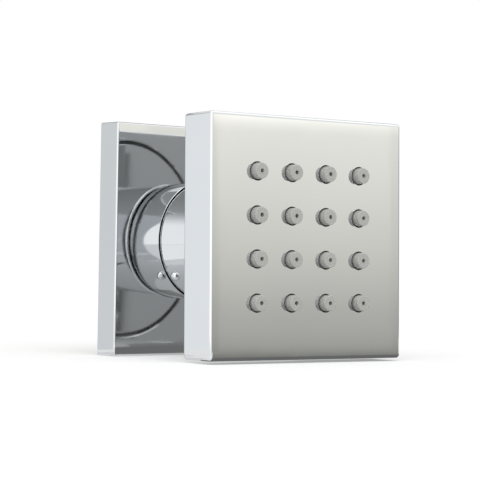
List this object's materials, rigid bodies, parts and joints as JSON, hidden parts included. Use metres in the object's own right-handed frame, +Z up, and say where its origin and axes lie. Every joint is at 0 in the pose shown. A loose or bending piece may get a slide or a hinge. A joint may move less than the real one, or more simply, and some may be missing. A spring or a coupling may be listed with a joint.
{
  "type": "shower body jet",
  "caption": "Square chrome shower body jet: a flat spray head with soft nozzles on a ball joint, over a square wall plate with a threaded inlet behind it.",
  "frame": {"origin": "on the inlet axis, at the wall face behind the square plate", "axes": "+X to the right seen from the front, +Y into the wall along the inlet, +Z up"},
  "size_m": [0.0524, 0.059, 0.0506],
  "materials": {
    "plate_chrome": "polished chrome plate",
    "head_chrome": "polished chrome plate",
    "fitting_chrome": "polished chrome plate",
    "brass": "turned brass",
    "pin_steel": "polished stainless",
    "black_rubber": "moulded rubber",
    "nozzle_silicone": "translucent silicone",
    "bearing_plastic": "moulded acetal",
    "filter_plastic": "moulded",
    "regulator_plastic": "moulded"
  },
  "bodies": {
    "wall_side": {"escutcheon": "plate_chrome", "escutcheon_oring": "black_rubber", "wall_gasket": "black_rubber", "inlet_connector": "brass", "inlet_filter": "filter_plastic", "flow_regulator": "regulator_plastic", "regulator_oring": "black_rubber", "seat_oring": "black_rubber", "collar": "fitting_chrome", "collar_pin": "pin_steel"},
    "seat_ring": {"ball_seat": "bearing_plastic"},
    "liner_ring": {"friction_liner": "bearing_plastic"},
    "head": {"swivel_ball": "brass", "neck_sleeve": "fitting_chrome", "stem_oring": "black_rubber", "stem_nut": "brass", "rear_cover": "head_chrome", "cover_gasket": "black_rubber", "head_shell": "head_chrome", "nozzle_mat": "nozzle_silicone", "spray_plate": "bearing_plastic"}
  },
  "joints": [
    {"name": "head_spin", "type": "hinge", "parent": "wall_side", "child": "seat_ring", "pos_m": [0, -0.0109, 0], "axis": [0, -1, 0], "continuous": true},
    {"name": "head_pan", "type": "hinge", "parent": "seat_ring", "child": "liner_ring", "pos_m": [0, -0.0109, 0], "axis": [0, 0, 1], "range_deg": [-7.4, 16.6]},
    {"name": "head_tilt", "type": "hinge", "parent": "liner_ring", "child": "head", "pos_m": [0, -0.0109, 0], "axis": [0.9968, -0.0802, 0], "range_deg": [-10.8, 13.2]}
  ]
}
